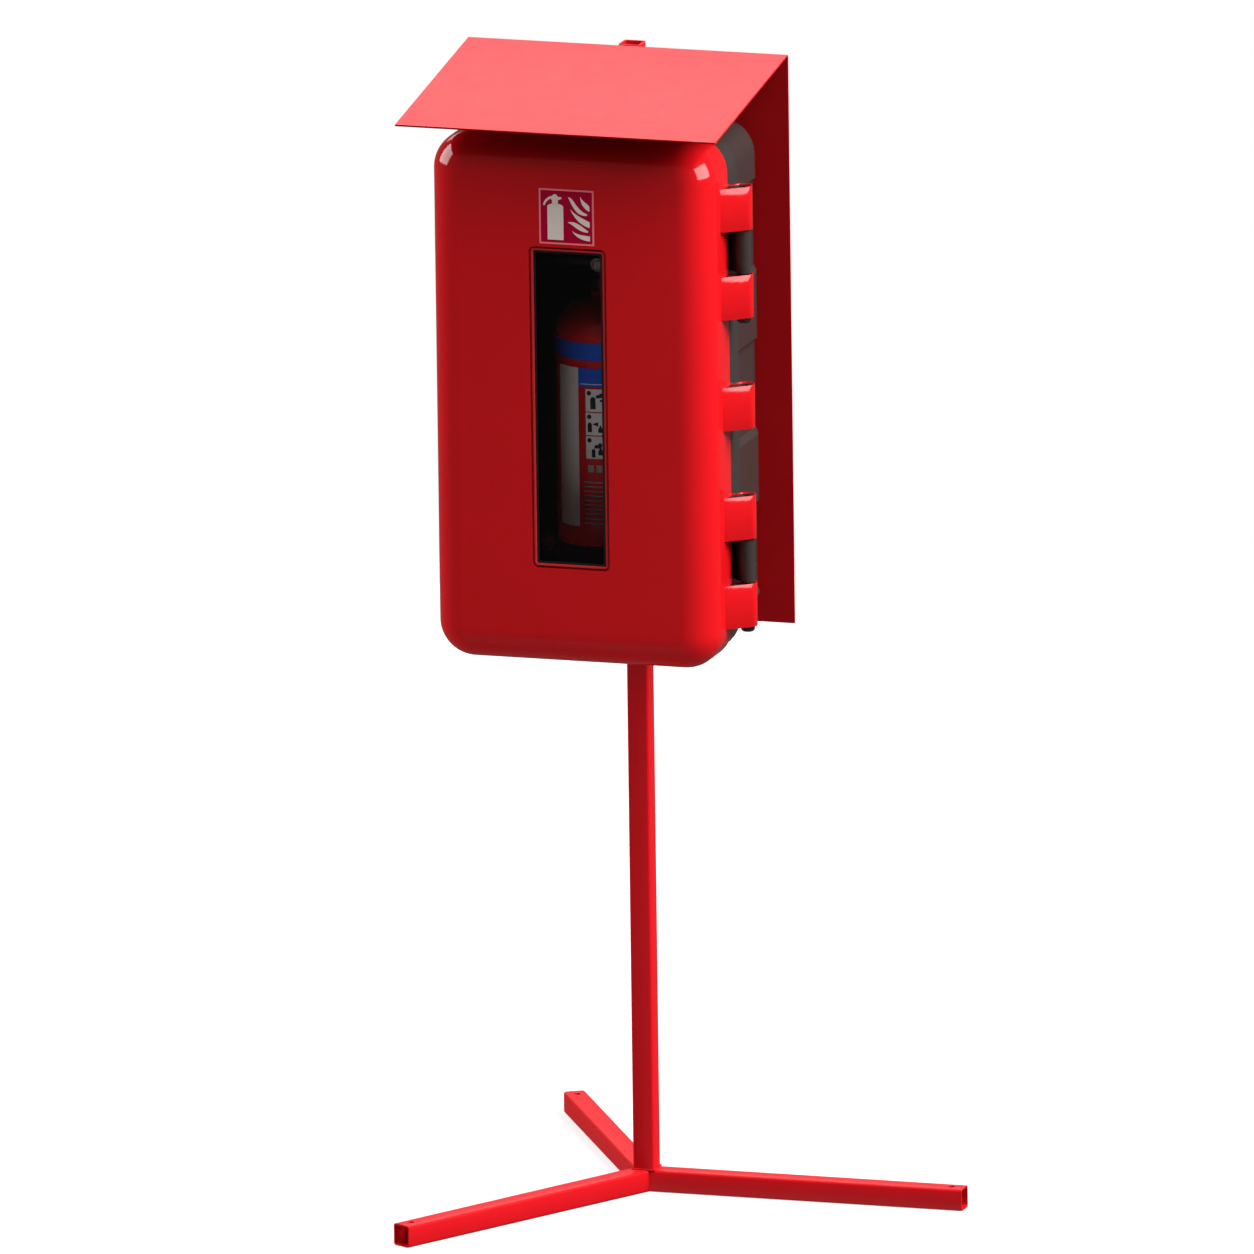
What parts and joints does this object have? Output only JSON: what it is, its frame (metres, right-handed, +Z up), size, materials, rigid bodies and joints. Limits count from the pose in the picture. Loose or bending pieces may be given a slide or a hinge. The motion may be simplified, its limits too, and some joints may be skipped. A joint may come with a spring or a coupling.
{
  "type": "fire extinguisher cabinet on stand",
  "caption": "Lidded plastic fire extinguisher cabinet with a viewing window, hung under a folded canopy on a three legged tube stand.",
  "frame": {"origin": "centre of the whole object's footprint box, on the ground under the feet", "axes": "+Z up, -Y to the cabinet's front, +X to its hinge side"},
  "size_m": [0.567, 0.6546, 1.3116],
  "materials": {
    "red_coat": "satin red powder coat",
    "red_plastic": "glossy moulded red",
    "grey_plastic": "dark grey moulded",
    "pane": "dark clear pane",
    "rubber": "matt black",
    "steel": "plated",
    "brass": "machined",
    "cylinder_paint": "gloss red"
  },
  "bodies": {
    "stand": {"post": "red_coat", "leg_right": "red_coat", "leg_front_left": "red_coat", "leg_rear_left": "red_coat", "back_plate_and_canopy": "red_coat", "base_shell": "grey_plastic", "base_seal": "rubber", "hinge_pin_lower": "steel", "hinge_pin_upper": "steel", "extinguisher_saddle": "grey_plastic", "upper_cradle": "grey_plastic", "strap_anchor": "grey_plastic", "retaining_strap": "rubber", "extinguisher_cylinder": "cylinder_paint", "foot_ring": "grey_plastic", "valve_body": "brass", "carry_handle": "steel", "operating_lever": "steel", "safety_pin": "steel", "pressure_gauge": "steel", "discharge_nozzle": "grey_plastic"},
    "door": {"door_shell": "red_plastic", "window_pane": "pane", "window_frame": "rubber", "latch_upper": "grey_plastic", "latch_lower": "grey_plastic"}
  },
  "joints": [
    {"name": "door_hinge", "type": "hinge", "parent": "stand", "child": "door", "pos_m": [0.09342, -0.173, 0.9473], "axis": [0, 0, 1], "range_deg": [0, 170]}
  ]
}
